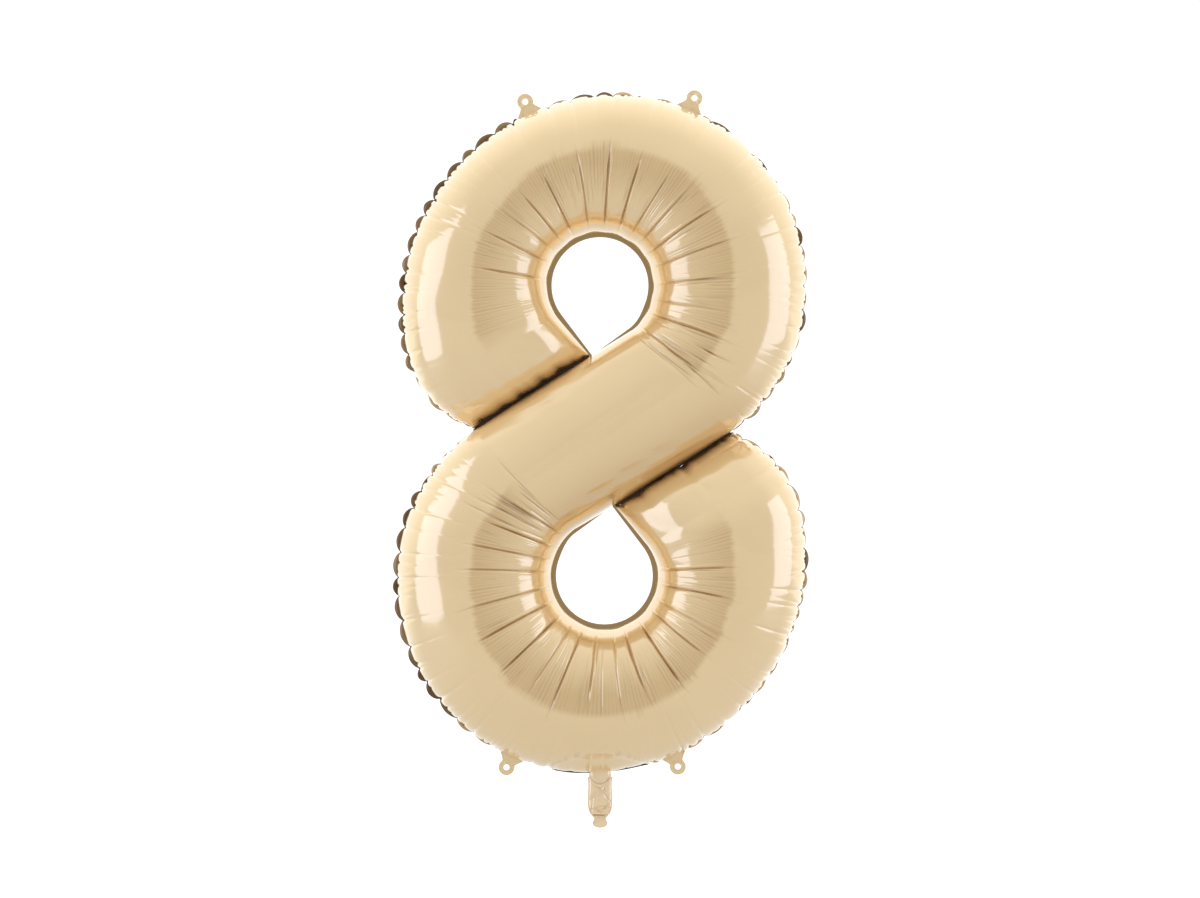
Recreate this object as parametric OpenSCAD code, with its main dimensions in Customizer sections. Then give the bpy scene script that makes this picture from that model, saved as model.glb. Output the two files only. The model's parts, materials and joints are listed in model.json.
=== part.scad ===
// Foil number balloon, digit 8: two film panels welded along their edges and filled with gas.
// The digit is one tube bent to an S. Each blunt end of the tube butts on its middle stroke.
// Millimetres. +Z up, front face towards -Y, seam plane at y = 0.
// Origin: middle of the root of the filling neck, on the lower edge of the body.

/* [Body] */
// outer radius of the upper ring, over its weld
upper_ring_r = 257; // [252:1:262]
// outer radius of the lower ring, over its weld
lower_ring_r = 260; // [255:1:265]
// height of the upper ring's centre above the neck root
upper_ring_z = 604; // [600:1:608]
// height of the lower ring's centre above the neck root
lower_ring_z = 262; // [260:1:264]
// how much each ring is drawn out along the rising diagonal
ring_lean = 7; // [0:1:10]
// depth of the inflated tube, front to back
tube_depth = 164; // [140:2:180]

/* [Eyes] */
// clear radius of the two eyes
eye_r = 61; // [56:1:64]
// height of the upper eye's centre
upper_eye_z = 618; // [615:1:621]
// height of the lower eye's centre
lower_eye_z = 252; // [249:1:255]
// sideways place of the lower eye's centre
lower_eye_x = 5.5; // [4:0.5:7]
// distance from an eye's centre to the line where the blunt end butts
butt_line = 68; // [67:0.5:70]
// slope of the middle stroke, degrees
stroke_slope = 32.5; // [31.5:0.5:33.5]

/* [Film and welds] */
// thickness of one panel of film, drawn thicker than the real film
film = 0.5; // [0.4:0.1:0.8]
// width of the weld that sticks out round the body
weld_w = 5; // [4:0.5:6]
// thickness of the two welded films together
weld_t = 1.2; // [1:0.1:1.4]

/* [Hanging tabs] */
// width of a tab's round head
tab_w = 20; // [17:1:23]
// radius of the punched eyelet
eyelet_r = 3.8; // [3:0.1:4.5]
// distance from the weld's edge to the eyelet's centre
eyelet_out = 13; // [12:0.5:16]
// width of the tab at its flared root
tab_root_w = 28; // [24:1:32]

/* [Neck and valve] */
// width of the filling neck
neck_w = 31; // [28:1:34]
// length of the neck's foil
neck_l = 48; // [44:1:52]
// depth of the neck where it is fullest
neck_depth = 6; // [4:0.5:8]
// length of the valve film from the neck root to its free end
tail_l = 65.5; // [62:0.5:70]
// length of the valve film inside the body
sleeve_l = 120; // [80:5:150]
// width of the valve film
valve_w = 24; // [20:1:26]

/* [Hidden] */
$fn = 64;

foil_colour = [0.90, 0.81, 0.66];
weld_colour = [0.74, 0.63, 0.45];
tab_colour = [0.80, 0.72, 0.56];
valve_colour = [0.91, 0.80, 0.68];

seam_half = weld_t / 2;
butt_half = weld_w / 2;

// Each ring is worked out about its own eye's centre, as the upper ring lies.
// The lower ring is the same figure turned half round.
UPPER = 0;
LOWER = 1;
FRONT = -1;
BACK = 1;
eye_centre = [[0, upper_eye_z], [lower_eye_x, lower_eye_z]];
ring_centre = [[5, upper_ring_z], [2, lower_ring_z]];
ring_r = [upper_ring_r, lower_ring_r];
turned = [1, -1];

// Along a ring the outer edge runs from the blunt end's corner to the waist on the other side.
end_angle = 225.5;
waist_angle = -47;
// The corners of the blunt end and the waist are drawn in from the ring's round outline.
end_cut = 27;
end_cut_span = 30;
waist_cut = 14;
waist_cut_span = 40;
// The eye is round but for a tip, where the blunt end meets the middle stroke.
tip = [-10, -88];
tip_side_angle = 216;
// Share of a ring's run that the straight side of the tip takes.
tip_share = 0.06;
tangent_angle = stroke_slope - 90;
stroke_dir = [cos(stroke_slope), sin(stroke_slope)];
stroke_normal = [-sin(stroke_slope), cos(stroke_slope)];

// Rows of points along one ring, along the middle stroke and across the tube.
ring_rows = 32;
stroke_rows = 7;
across = 12;
// Share of a ring's run that the rounded blunt end takes.
end_share = 0.1;
end_steps = [0, 0.02, 0.08, 0.2, 0.4, 0.7];

function dir(a) = [cos(a), sin(a)];
function unit(v) = v / norm(v);
function clamp01(x) = max(0, min(1, x));
function ease(x) = let (c = clamp01(x)) c * c * (3 - 2 * c);
function mix(p, q, t) = p + (q - p) * t;

// Outer edge of a ring over its weld, at an angle about the ring's centre.
function outline_r(ring, a) = ring_r[ring] + ring_lean * sin(2 * a)
    - end_cut * pow(clamp01(1 - (end_angle - a) / end_cut_span), 2)
    - waist_cut * pow(clamp01(1 - (a - waist_angle) / waist_cut_span), 1.5);

function ring_offset(ring) = (ring_centre[ring] - eye_centre[ring]) * turned[ring];

// A point of the outer edge: s runs from 0 at the blunt end to 1 at the waist.
function outer_edge(ring, s, inset) = let (a = mix(end_angle, waist_angle, s))
    ring_offset(ring) + (outline_r(ring, a) - inset) * dir(a);

// A point of the edge on the eye: from the tip, round the eye, to the middle stroke.
function eye_edge(s, inset) = s < tip_share
    ? mix(end_corner(inset), (eye_r + inset) * dir(tip_side_angle), s / tip_share)
    : let (a = mix(tip_side_angle, tangent_angle, (s - tip_share) / (1 - tip_share)))
        (eye_r + inset + (butt_line + butt_half - eye_r - weld_w) * ease(-(a + 20) / 37.5)) * dir(a);

// Corner of the blunt end beside the eye's tip, on the butting line's own side.
function end_corner(inset) = let (p = tip + (inset - butt_half) * dir(tip_side_angle))
    p - stroke_normal * (p * stroke_normal + butt_line - butt_half);

// Corner of the blunt end on the outer edge.
function end_outer(ring) = let (p = outer_edge(ring, 0, weld_w))
    p - stroke_normal * (p * stroke_normal + butt_line - butt_half);

// Shares of a ring's run at which rows lie: close together on the rounded blunt end.
run = concat([for (e = end_steps) e * end_share],
    [for (k = [0 : ring_rows]) end_share + (1 - end_share) * k / ring_rows]);

function place(ring, p) = eye_centre[ring] + turned[ring] * p;

// One row: its eye-side edge, its outer edge and how full the tube is there.
function ring_row(ring, s) = [
    place(ring, eye_edge(s, weld_w)),
    place(ring, s == 0 ? end_outer(ring) : outer_edge(ring, s, weld_w)),
    let (q = clamp01(s / end_share)) sqrt(1 - (1 - q) * (1 - q)),
    turned[ring] * stroke_normal * (1 - clamp01(s / end_share))];

upper_rows = [for (s = run) ring_row(UPPER, s)];
lower_rows = [for (k = [len(run) - 1 : -1 : 0])
    let (r = ring_row(LOWER, run[k])) [r[1], r[0], r[2], r[3]]];
stroke_start = upper_rows[len(run) - 1];
stroke_end = lower_rows[0];
middle_rows = [for (k = [1 : stroke_rows - 1]) let (t = k / stroke_rows)
    [mix(stroke_start[0], stroke_end[0], t), mix(stroke_start[1], stroke_end[1], t), 1, [0, 0]]];
tube_rows = concat(upper_rows, middle_rows, lower_rows);

// A film surface over a list of rows, bulging to the side given (-1 is the front), or its
// inner face when inset is set.
function film_grid(side, rise, inset) = [for (r = tube_rows)
    let (a = r[0] + inset * (unit(r[1] - r[0]) + r[3]), b = r[1] - inset * (unit(r[1] - r[0]) - r[3]))
    [for (j = [0 : across]) let (q = 180 * j / across, p = mix(a, b, (1 - cos(q)) / 2),
        h = seam_half + r[2] * (rise - inset) * sin(q))
        [p[0], side * h, p[1]]]];

function flat_list(g) = [for (row = g) for (p = row) p];

// Closed shell between an outer and an inner grid that share their number of rows.
module film_shell(side, outer, inner) {
    n = len(outer);
    m = across + 1;
    base = n * m;
    loop = concat([for (j = [0 : m - 1]) j], [for (i = [1 : n - 1]) i * m + m - 1],
        [for (j = [m - 2 : -1 : 0]) (n - 1) * m + j], [for (i = [n - 2 : -1 : 1]) i * m]);
    skin = [for (i = [0 : n - 2]) for (j = [0 : m - 2])
        let (a = i * m + j, b = a + 1, c = a + m + 1, d = a + m)
            each [[a, b, c], [a, c, d]]];
    lining = [for (f = skin) [f[2] + base, f[1] + base, f[0] + base]];
    rim = [for (k = [0 : len(loop) - 1]) let (a = loop[k], b = loop[(k + 1) % len(loop)])
        each [[b, a, a + base], [b, a + base, b + base]]];
    faces = concat(lining, rim, skin);
    polyhedron(points = concat(flat_list(outer), flat_list(inner)),
        faces = side < 0 ? faces : [for (f = faces) [f[2], f[1], f[0]]]);
}

// Flat weld: a figure drawn in x and z, laid in the seam plane.
module in_seam_plane(thickness) {
    rotate([90, 0, 0])
        translate([0, 0, -thickness / 2])
            linear_extrude(thickness)
                children();
}

// Strip of weld along the outer edge of one ring.
module outer_weld_shape(ring) {
    steps = [for (k = [0 : 48]) k / 48];
    polygon(concat(
        [for (s = steps) place(ring, outer_edge(ring, s, 0))],
        [for (k = [48 : -1 : 0]) place(ring, outer_edge(ring, steps[k], weld_w + film))]));
}

// Ring of weld round an eye, with its tip.
module eye_weld_shape(ring) {
    steps = [for (k = [0 : 48]) k / 48];
    difference() {
        polygon(concat(
            [for (s = steps) place(ring, eye_edge(s, weld_w + film))],
            [place(ring, tip - [3, 6])]));
        translate(eye_centre[ring])
            rotate(ring == UPPER ? 0 : 180)
                eye_opening_shape();
    }
}

// The clear opening of an eye about its own centre: a circle drawn out to a tip.
module eye_opening_shape() {
    polygon(concat([tip], [for (k = [0 : 60]) eye_edge(tip_share + (1 - tip_share) * k / 60, 0)]));
}

// Straight strip of weld where a blunt end butts on the middle stroke.
module butt_weld_shape(ring) {
    near = tip * stroke_dir - 2;
    far = outer_edge(ring, 0, 0) * stroke_dir;
    difference() {
        polygon([for (c = [[near, film], [far, film], [far, -weld_w - film], [near, -weld_w - film]])
            place(ring, c[0] * stroke_dir + (c[1] + butt_half - butt_line) * stroke_normal)]);
        eye_weld_shape(ring);
        outer_weld_shape(UPPER);
        outer_weld_shape(LOWER);
        translate(eye_centre[ring])
            rotate(ring == UPPER ? 0 : 180)
                eye_opening_shape();
    }
}

// Hanging tab drawn pointing up, its fold line on the x axis.
module tab_shape() {
    eyelet_z = eyelet_out - fold_out;
    difference() {
        union() {
            translate([0, eyelet_z])
                circle(tab_w / 2);
            polygon([[-tab_root_w / 2, fold_gap], [tab_root_w / 2, fold_gap],
                [tab_w / 2 - 1.5, eyelet_z - 4], [-tab_w / 2 + 1.5, eyelet_z - 4]]);
        }
        translate([0, eyelet_z])
            circle(eyelet_r);
        translate([-tab_w, -tab_w + fold_gap])
            square([2 * tab_w, tab_w]);
    }
}

// The fold line lies this far outside the weld's edge, and the tab begins this far past it.
fold_out = 1;
fold_gap = 0.5;

// A tab on one ring at an angle about the ring's centre.
module tab(ring, angle) {
    p = ring_centre[ring] + (outline_r(ring, local_angle(ring, angle)) + fold_out) * dir(angle);
    translate([p[0], 0, p[1]])
        rotate([0, 90 - angle, 0])
            in_seam_plane(weld_t)
                tab_shape();
}

function local_angle(ring, a) = ring == UPPER ? a : a - 180;

top_left_angle = 112;
top_right_angle = 65.5;
bottom_left_angle = 244.5;
bottom_right_angle = 291;

// Neck, from its root down: how far along, half width and fullness, each as a share.
neck_top = -1.4;
neck_steps = [0, 0.1, 0.25, 0.5, 0.75, 0.9, 1];
neck_half = [1, 0.97, 0.95, 0.98, 1, 0.92, 0.8];
neck_full = [0.04, 0.45, 0.9, 1, 0.95, 0.85, 0.7];
neck_last = len(neck_steps) - 1;
neck_film = 0.3;
neck_gap = 0.05;
neck_side_w = 1.5;

function neck_z(k) = neck_top - neck_steps[k] * (neck_l + neck_top);
function neck_side(k) = neck_half[k] * neck_w / 2 - neck_side_w;

// One film of the neck between its side welds; skin is how far the face lies outside the lining.
function neck_grid(side, skin) = [for (k = [0 : neck_last])
    [for (j = [0 : across]) let (q = 180 * j / across,
        bulge = neck_full[k] * (neck_depth / 2 - seam_half - neck_film) * sin(q))
        [-neck_side(k) * cos(q), side * (seam_half + neck_gap + bulge + skin), neck_z(k)]]];

module neck_side_shape() {
    polygon(concat(
        [for (k = [0 : neck_last]) [neck_side(k), neck_z(k)]],
        [for (k = [neck_last : -1 : 0]) [neck_side(k) + neck_side_w, neck_z(k)]]));
}

// Valve film below the root: it narrows to a waist and ends in a round lip.
tail_steps = [0, 0.15, 0.5, 0.72, 0.82, 0.88, 0.93, 0.97, 1];
tail_half = [1, 1, 0.98, 0.85, 0.66, 0.74, 0.8, 0.7, 0.45];
tail_last = len(tail_steps) - 1;
valve_film = 0.3;
valve_play = 0.03;

function tail_z(k) = neck_top - tail_steps[k] * (tail_l + neck_top);

module tail_shape() {
    polygon(concat(
        [for (k = [0 : tail_last]) [tail_half[k] * valve_w / 2, tail_z(k)]],
        [for (k = [tail_last : -1 : 0]) [-tail_half[k] * valve_w / 2, tail_z(k)]]));
}

module sleeve_shape() {
    translate([-valve_w / 2, 0.6])
        square([valve_w, sleeve_l]);
}

module front_foil_panel() {
    color(foil_colour)
        film_shell(FRONT, film_grid(FRONT, tube_depth / 2 - seam_half, 0),
            film_grid(FRONT, tube_depth / 2 - seam_half, film));
}

module back_foil_panel() {
    color(foil_colour)
        film_shell(BACK, film_grid(BACK, tube_depth / 2 - seam_half, 0),
            film_grid(BACK, tube_depth / 2 - seam_half, film));
}

module upper_outer_weld() {
    color(weld_colour)
        in_seam_plane(weld_t)
            difference() {
                outer_weld_shape(UPPER);
                outer_weld_shape(LOWER);
            }
}

module lower_outer_weld() {
    color(weld_colour)
        difference() {
            in_seam_plane(weld_t)
                outer_weld_shape(LOWER);
            translate([-valve_w / 2 - valve_play, -valve_film - valve_play, -1])
                cube([valve_w + 2 * valve_play, 2 * (valve_film + valve_play), weld_w + 5]);
        }
}

module upper_eye_weld() {
    color(weld_colour)
        in_seam_plane(weld_t)
            eye_weld_shape(UPPER);
}

module lower_eye_weld() {
    color(weld_colour)
        in_seam_plane(weld_t)
            eye_weld_shape(LOWER);
}

module upper_butt_weld() {
    color(weld_colour)
        in_seam_plane(weld_t)
            butt_weld_shape(UPPER);
}

module lower_butt_weld() {
    color(weld_colour)
        in_seam_plane(weld_t)
            butt_weld_shape(LOWER);
}

module top_left_hanging_tab() {
    color(tab_colour)
        tab(UPPER, top_left_angle);
}

module top_right_hanging_tab() {
    color(tab_colour)
        tab(UPPER, top_right_angle);
}

module bottom_left_hanging_tab() {
    color(tab_colour)
        tab(LOWER, bottom_left_angle);
}

module bottom_right_hanging_tab() {
    color(tab_colour)
        tab(LOWER, bottom_right_angle);
}

module neck_front_film() {
    color(foil_colour)
        film_shell(FRONT, neck_grid(FRONT, neck_film), neck_grid(FRONT, 0));
}

module neck_back_film() {
    color(foil_colour)
        film_shell(BACK, neck_grid(BACK, neck_film), neck_grid(BACK, 0));
}

module neck_left_weld() {
    color(weld_colour)
        in_seam_plane(2 * (seam_half + neck_gap + neck_film))
            mirror([1, 0])
                neck_side_shape();
}

module neck_right_weld() {
    color(weld_colour)
        in_seam_plane(2 * (seam_half + neck_gap + neck_film))
            neck_side_shape();
}

// One valve film: a flat strip whose inner face lies in the seam plane.
module valve_film_sheet(side) {
    translate([0, side * valve_film / 2, 0])
        in_seam_plane(valve_film)
            children();
}

module valve_sleeve_front_film() {
    color(valve_colour)
        valve_film_sheet(-1)
            sleeve_shape();
}

module valve_sleeve_back_film() {
    color(valve_colour)
        valve_film_sheet(1)
            sleeve_shape();
}

module valve_tail_front_film() {
    color(valve_colour)
        valve_film_sheet(-1)
            tail_shape();
}

module valve_tail_back_film() {
    color(valve_colour)
        valve_film_sheet(1)
            tail_shape();
}

front_foil_panel();
back_foil_panel();
upper_outer_weld();
lower_outer_weld();
upper_eye_weld();
lower_eye_weld();
upper_butt_weld();
lower_butt_weld();
top_left_hanging_tab();
top_right_hanging_tab();
bottom_left_hanging_tab();
bottom_right_hanging_tab();
neck_front_film();
neck_back_film();
neck_left_weld();
neck_right_weld();
valve_sleeve_front_film();
valve_sleeve_back_film();
valve_tail_front_film();
valve_tail_back_film();
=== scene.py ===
import json
import math

import bpy
import numpy as np
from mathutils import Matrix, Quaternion, Vector


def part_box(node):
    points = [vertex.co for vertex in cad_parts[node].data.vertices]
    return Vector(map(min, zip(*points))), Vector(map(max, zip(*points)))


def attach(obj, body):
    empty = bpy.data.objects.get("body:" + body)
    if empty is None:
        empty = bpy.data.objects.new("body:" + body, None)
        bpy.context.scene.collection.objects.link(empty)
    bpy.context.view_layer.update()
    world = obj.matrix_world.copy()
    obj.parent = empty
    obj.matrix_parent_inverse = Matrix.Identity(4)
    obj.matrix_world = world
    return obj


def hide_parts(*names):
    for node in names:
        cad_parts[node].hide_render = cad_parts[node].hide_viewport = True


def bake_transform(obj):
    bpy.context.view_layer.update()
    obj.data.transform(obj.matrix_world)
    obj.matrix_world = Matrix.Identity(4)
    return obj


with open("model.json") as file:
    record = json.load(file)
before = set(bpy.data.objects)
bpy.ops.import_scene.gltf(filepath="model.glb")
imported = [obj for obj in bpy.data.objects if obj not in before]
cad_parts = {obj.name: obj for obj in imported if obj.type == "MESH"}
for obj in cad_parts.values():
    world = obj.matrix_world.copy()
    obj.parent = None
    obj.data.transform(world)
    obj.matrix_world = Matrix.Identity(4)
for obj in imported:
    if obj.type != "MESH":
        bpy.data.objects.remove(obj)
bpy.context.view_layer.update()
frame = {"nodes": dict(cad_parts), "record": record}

# Camera: level with the middle of the balloon and far off, so the digit shows no perspective.
# It looks straight at the front film.
def linked(name, data):
    """A new object on some data, put in the scene."""
    thing = bpy.data.objects.new(name, data)
    bpy.context.scene.collection.objects.link(thing)
    return thing


camera_data = bpy.data.cameras.new("camera")
camera = linked("camera", camera_data)
camera_distance = 8.0
camera_height = 0.412
view_width = 1.513
camera.location = (0, -camera_distance, camera_height)
camera.rotation_euler = (math.radians(90), 0, 0)
camera_data.sensor_width = 36
camera_data.lens = camera_data.sensor_width * camera_distance / view_width
camera_data.clip_end = 60
bpy.context.scene.camera = camera


# Foil panels: two cut panels of metallised film, heat-welded to each other along their edges.
# The gas rounds the digit to one tube bent to an S, and the film that is too long for the
# inner side of the bend gathers in creases round each eye and in puckers along the outer weld.
UPPER, LOWER = 0, 1
FRONT, BACK = -1, 1
TURNED = (1, -1)
neck_root = next(m for m in frame["record"]["mounts"] if m["name"] == "neck_root")["pos_m"]
tube_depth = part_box("back_foil_panel")[1][1] * 2
weld_w = 0.005
eye_centre = np.array([[0, 0.618], [0.0055, 0.252]]) + [neck_root[0], neck_root[2]]
ring_centre = np.array([[0.005, 0.604], [0.002, 0.262]]) + [neck_root[0], neck_root[2]]
ring_r = (0.257, 0.260)
ring_lean = 0.007
eye_r = 0.061
butt_line = 0.068
butt_half = weld_w / 2
butt_gap = 0.0014
stroke_gap = 0.0008
stroke_slope = 32.5
end_angle = 225.5
waist_angle = -47
end_cut = 0.027
end_cut_span = 30
waist_cut = 0.014
waist_cut_span = 40
# The eye's edge leaves its circle below this angle and runs out straight to meet the stroke.
straight_from = -20
straight_span = 37.5
eye_tip = np.array([-0.010, -0.088])
tip_side_angle = 216
tip_share = 0.06
tangent_angle = stroke_slope - 90
stroke_normal = np.array([-math.sin(math.radians(stroke_slope)), math.cos(math.radians(stroke_slope))])
end_share = 0.1
film_gap = 0.0003
# The tight lobes of film reach nearly to the outer weld's own edge and leave this much of it.
lip_w = 0.0022
waist_inset = 0.0008

# Rows run along the tube: the rounded blunt end, the ring, the middle stroke, and back again.
end_rows = 70
ring_rows = 860
stroke_rows = 150
# Lines across the tube, in degrees round its section from the eye's side to the outer side:
# close together at the eye, on the crest where the pleats end, and at the puckered outer weld.
across_eye = [0, 1.5, 3.5, 6, 9, 12.5, 17]
across_slope = list(range(22, 83, 6))
across_crest = [85, 87, 88.5, 90, 91.5, 93, 94.5, 96, 98]
across_shoulder = [103, 109, 115, 121, 127, 133, 139, 145]
across_edge = [150, 154, 158, 161.5, 165, 168, 170.5, 173, 175.5, 177.5, 179, 180]
across = np.array(across_eye + across_slope + across_crest + across_shoulder + across_edge, float)


def ray(degrees):
    a = np.radians(degrees)
    return np.stack([np.cos(a), np.sin(a)], -1)


def ease(x):
    c = np.clip(x, 0, 1)
    return c * c * (3 - 2 * c)


def outline_r(ring, a):
    end = np.clip(1 - (end_angle - a) / end_cut_span, 0, 1) ** 2
    waist = np.clip(1 - (a - waist_angle) / waist_cut_span, 0, 1) ** 1.5
    return ring_r[ring] + ring_lean * np.sin(np.radians(2 * a)) - end_cut * end - waist_cut * waist


def onto_butt_line(p):
    return p - stroke_normal * ((p @ stroke_normal)[..., None] + butt_line - butt_gap)


def outer_edge(ring, s, inset):
    a = end_angle + (waist_angle - end_angle) * s
    offset = (ring_centre[ring] - eye_centre[ring]) * TURNED[ring]
    return offset + (outline_r(ring, a) - inset)[..., None] * ray(a)


def eye_edge(s, inset):
    corner = onto_butt_line(eye_tip + (inset - butt_half) * ray(tip_side_angle))
    side = (eye_r + inset) * ray(tip_side_angle)
    in_tip = corner + (side - corner) * (s / tip_share)[..., None]
    a = tip_side_angle + (tangent_angle - tip_side_angle) * (s - tip_share) / (1 - tip_share)
    straightened = (butt_line + stroke_gap - eye_r - weld_w) * ease((straight_from - a) / straight_span)
    round_eye = (eye_r + inset + straightened)[..., None] * ray(a)
    return np.where((s < tip_share)[..., None], in_tip, round_eye)


def placed(ring, p):
    return eye_centre[ring] + TURNED[ring] * p


end_turn = np.linspace(0, 1, end_rows, endpoint=False)
rounded_rows = end_share * (1 - np.cos(end_turn * math.pi / 2))
run = np.concatenate([rounded_rows, np.linspace(end_share, 1, ring_rows)])
end_bluntness = 0.84
fullness = np.sqrt(1 - np.clip(1 - run / end_share, 0, 1) ** 2) ** end_bluntness
# Distance of each row from the blunt end's weld, over the rounded end and along the ring.
end_length = 0.115
ring_length = 0.9
beyond_end = end_length + (run[end_rows:] - end_share) * ring_length
end_distance = np.concatenate([end_turn * end_length, beyond_end])
tube_width = 0.186
section_length = 0.275
eye_weld_r = eye_r + weld_w


def ring_edges(ring):
    eye_side = eye_edge(run, weld_w)
    near_stroke = ease((run - 0.92) / 0.08)
    outer = outer_edge(ring, run, lip_w + (waist_inset - lip_w) * near_stroke)
    square_end = onto_butt_line(outer[:1])
    blend_in = ease(run / (0.25 * end_share))[:, None]
    outer = outer + (square_end - outer[:1]) * (1 - blend_in)
    return placed(ring, eye_side), placed(ring, outer)


def run_at_angle(a):
    return tip_share + (1 - tip_share) * (tip_side_angle - a) / (tip_side_angle - tangent_angle)


def overhead(s):
    """How squarely a place along the run faces away from the other ring: 1 there, 0 beside it."""
    a = tip_side_angle - (tip_side_angle - tangent_angle) * (s - tip_share) / (1 - tip_share)
    return np.clip(np.sin(np.radians(a)), 0, 1) ** 2


# Pinch points along one outer weld: where it is drawn in, and how much.
def pinch_points(ring):
    rng = np.random.RandomState(41 + ring)
    spots = []
    s = 0.012
    while s < 0.985:
        spots.append((s, rng.uniform(0.5, 1.0), rng.uniform(0.022, 0.062)))
        s += rng.uniform(0.015, 0.029)
    return spots


pinches = [pinch_points(UPPER), pinch_points(LOWER)]
outer_run = 1.22


# Angles on the object at which the tabs and the neck hold the outer weld flat.
tab_angles = {"top_left": 112, "top_right": 65.5, "bottom_left": 244.5, "bottom_right": 291}
held_angles = ([tab_angles["top_left"], tab_angles["top_right"]],
    [tab_angles["bottom_left"] - 180, tab_angles["bottom_right"] - 180, 90])
held_span = (3.6, 3.6, 13.0)


def held_flat(ring):
    """1 at each row where a tab or the neck keeps the outer weld flat, 0 away from them."""
    a = end_angle + (waist_angle - end_angle) * run
    still = [1 - ease((np.abs(a - at) - span) / 1.6) for at, span in zip(held_angles[ring], held_span)]
    return np.max(still, 0)


def scallops(ring):
    """How far the outer weld is drawn in at each row: round lobes between sharp pinch points."""
    at = np.array([p[0] for p in pinches[ring]])
    deep = np.array([p[1] for p in pinches[ring]])
    k = np.clip(np.searchsorted(at, run) - 1, 0, len(at) - 2)
    phase = np.clip((run - at[k]) / (at[k + 1] - at[k]), 0, 1)
    depth = deep[k] + (deep[k + 1] - deep[k]) * phase
    lobes = (1 - np.sqrt(np.clip(1 - (2 * phase - 1) ** 2, 0, 1))) ** 0.8
    return depth * lobes * (1 - held_flat(ring))


def weld_wave(ring):
    """How far the outer weld leans forward or back at each row, one lean for each lobe."""
    rng = np.random.RandomState(61 + ring)
    at = np.array([0] + [p[0] for p in pinches[ring]] + [1])
    lean = rng.uniform(-1, 1, len(at))
    middle = (at[1:] + at[:-1]) / 2
    return np.interp(run, middle, lean[1:])


# Sizes of the film's relief: how deep each kind of fold goes, and how wide it is.
crease_deep, crease_wide = 0.0030, 0.0008
crease_shoulder_deep, crease_shoulder_wide = 0.0005, 0.004
crease_lip_high, crease_lip_off, crease_lip_wide = 0.0011, 0.0030, 0.0014
side_deep, side_wide = 0.0022, 0.0008
side_shoulder_deep, side_shoulder_wide = 0.0008, 0.003
side_creases, crossing_creases = 68, 16
pleat_deep, dimple_deep = 0.00105, 0.00110
pleat_radius = 0.158
pleat_end = 0.530
# Over the top of each ring the creases and the pleats run further out by these shares.
crease_reach_overhead, pleat_reach_overhead = 0.07, 0.080
scallop_deep, pinch_deep = 0.0042, 0.0046
end_folds, end_fold_deep, end_fold_shallow, end_fold_wide = 22, 0.0056, 0.0030, 0.0035
end_dents = 16
# How wide the painted shade along a fold spreads, and how strong it is for each kind.
shade_wide = 0.0009
main_crease_shade, side_crease_shade, rib_shade, end_seam_shade = 0.72, 0.8, 0.30, 0.80
ring_turn = math.radians(tip_side_angle - tangent_angle)


def main_creases(rng, s, t, arc, height, fold):
    """Radial folds from the eye's rim to just past the crest, with the film full between them."""
    crease_angles = []
    a = -47 + rng.uniform(0, 6)
    while a < 186:
        crease_angles.append(a)
        a += rng.uniform(11.5, 17.5)
    at = run_at_angle(np.array(crease_angles[::-1]))
    k = np.clip(np.searchsorted(at, run) - 1, 0, len(at) - 2)
    phase = (run - at[k]) / (at[k + 1] - at[k])
    inside = (phase >= 0) & (phase <= 1)
    phase = np.clip(phase, 0, 1)
    swell = rng.uniform(0.0004, 0.0011, len(at))
    tilt = rng.uniform(-0.0005, 0.0005, len(at))
    gore = (swell[k] * (1 - (2 * phase - 1) ** 2) + tilt[k] * (2 * phase - 1)) * inside
    height += gore[:, None] * ease((t - 0.01) / 0.12) * ease((0.60 - t) / 0.22)
    for c in at:
        first = rng.uniform(0.006, 0.030)
        last = rng.uniform(0.54, 0.68) + crease_reach_overhead * overhead(c)
        deep = rng.uniform(0.5, 1.15)
        slant = rng.uniform(-0.010, 0.010)
        bow = rng.uniform(-0.012, 0.012)
        reach = deep * ease((t - first) / 0.12) * ease((last - t) / 0.24)
        off = (s - c - slant * (t - 0.3) - bow * (t - first) * (last - t) * 4) * arc
        u = np.abs(off)
        lip_side = rng.choice([-1, 1])
        height -= reach * crease_deep * np.exp(-u / crease_wide)
        height -= reach * crease_shoulder_deep * np.exp(-u / crease_shoulder_wide)
        lip_u = (off * lip_side - crease_lip_off) / crease_lip_wide
        height += reach * crease_lip_high * np.exp(-(lip_u ** 2))
        # painted shade along the bottom of the fold
        fold += main_crease_shade * reach * np.exp(-((u / shade_wide) ** 2))
    return at


def thin_creases(rng, at, s, t, arc, height, fold):
    """Thinner folds that branch off the main ones, lie between them, or cross into the stroke."""
    for n in range(side_creases + crossing_creases):
        crossing = n >= side_creases
        c = run_at_angle(rng.uniform(-56, -30) if crossing else rng.uniform(-50, 186))
        if n % 2 and not crossing:
            c = at[rng.randint(len(at))] + rng.uniform(-0.014, 0.014)
        first = rng.uniform(0.05, 0.44)
        last = first + (rng.uniform(0.20, 0.45) if crossing else rng.uniform(0.08, 0.26))
        deep = rng.uniform(0.3, 0.75) if crossing else rng.uniform(0.12, 0.50)
        slant = rng.uniform(-0.02, 0.02)
        reach = deep * ease((t - first) / 0.08) * ease((last - t) / 0.10)
        u = np.abs(s - c - slant * (t - first)) * arc
        height -= reach * side_deep * np.exp(-u / side_wide)
        height -= reach * side_shoulder_deep * np.exp(-u / side_shoulder_wide)
        # painted shade along the bottom of the fold
        fold += side_crease_shade * reach * np.exp(-((u / shade_wide) ** 2))


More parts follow.
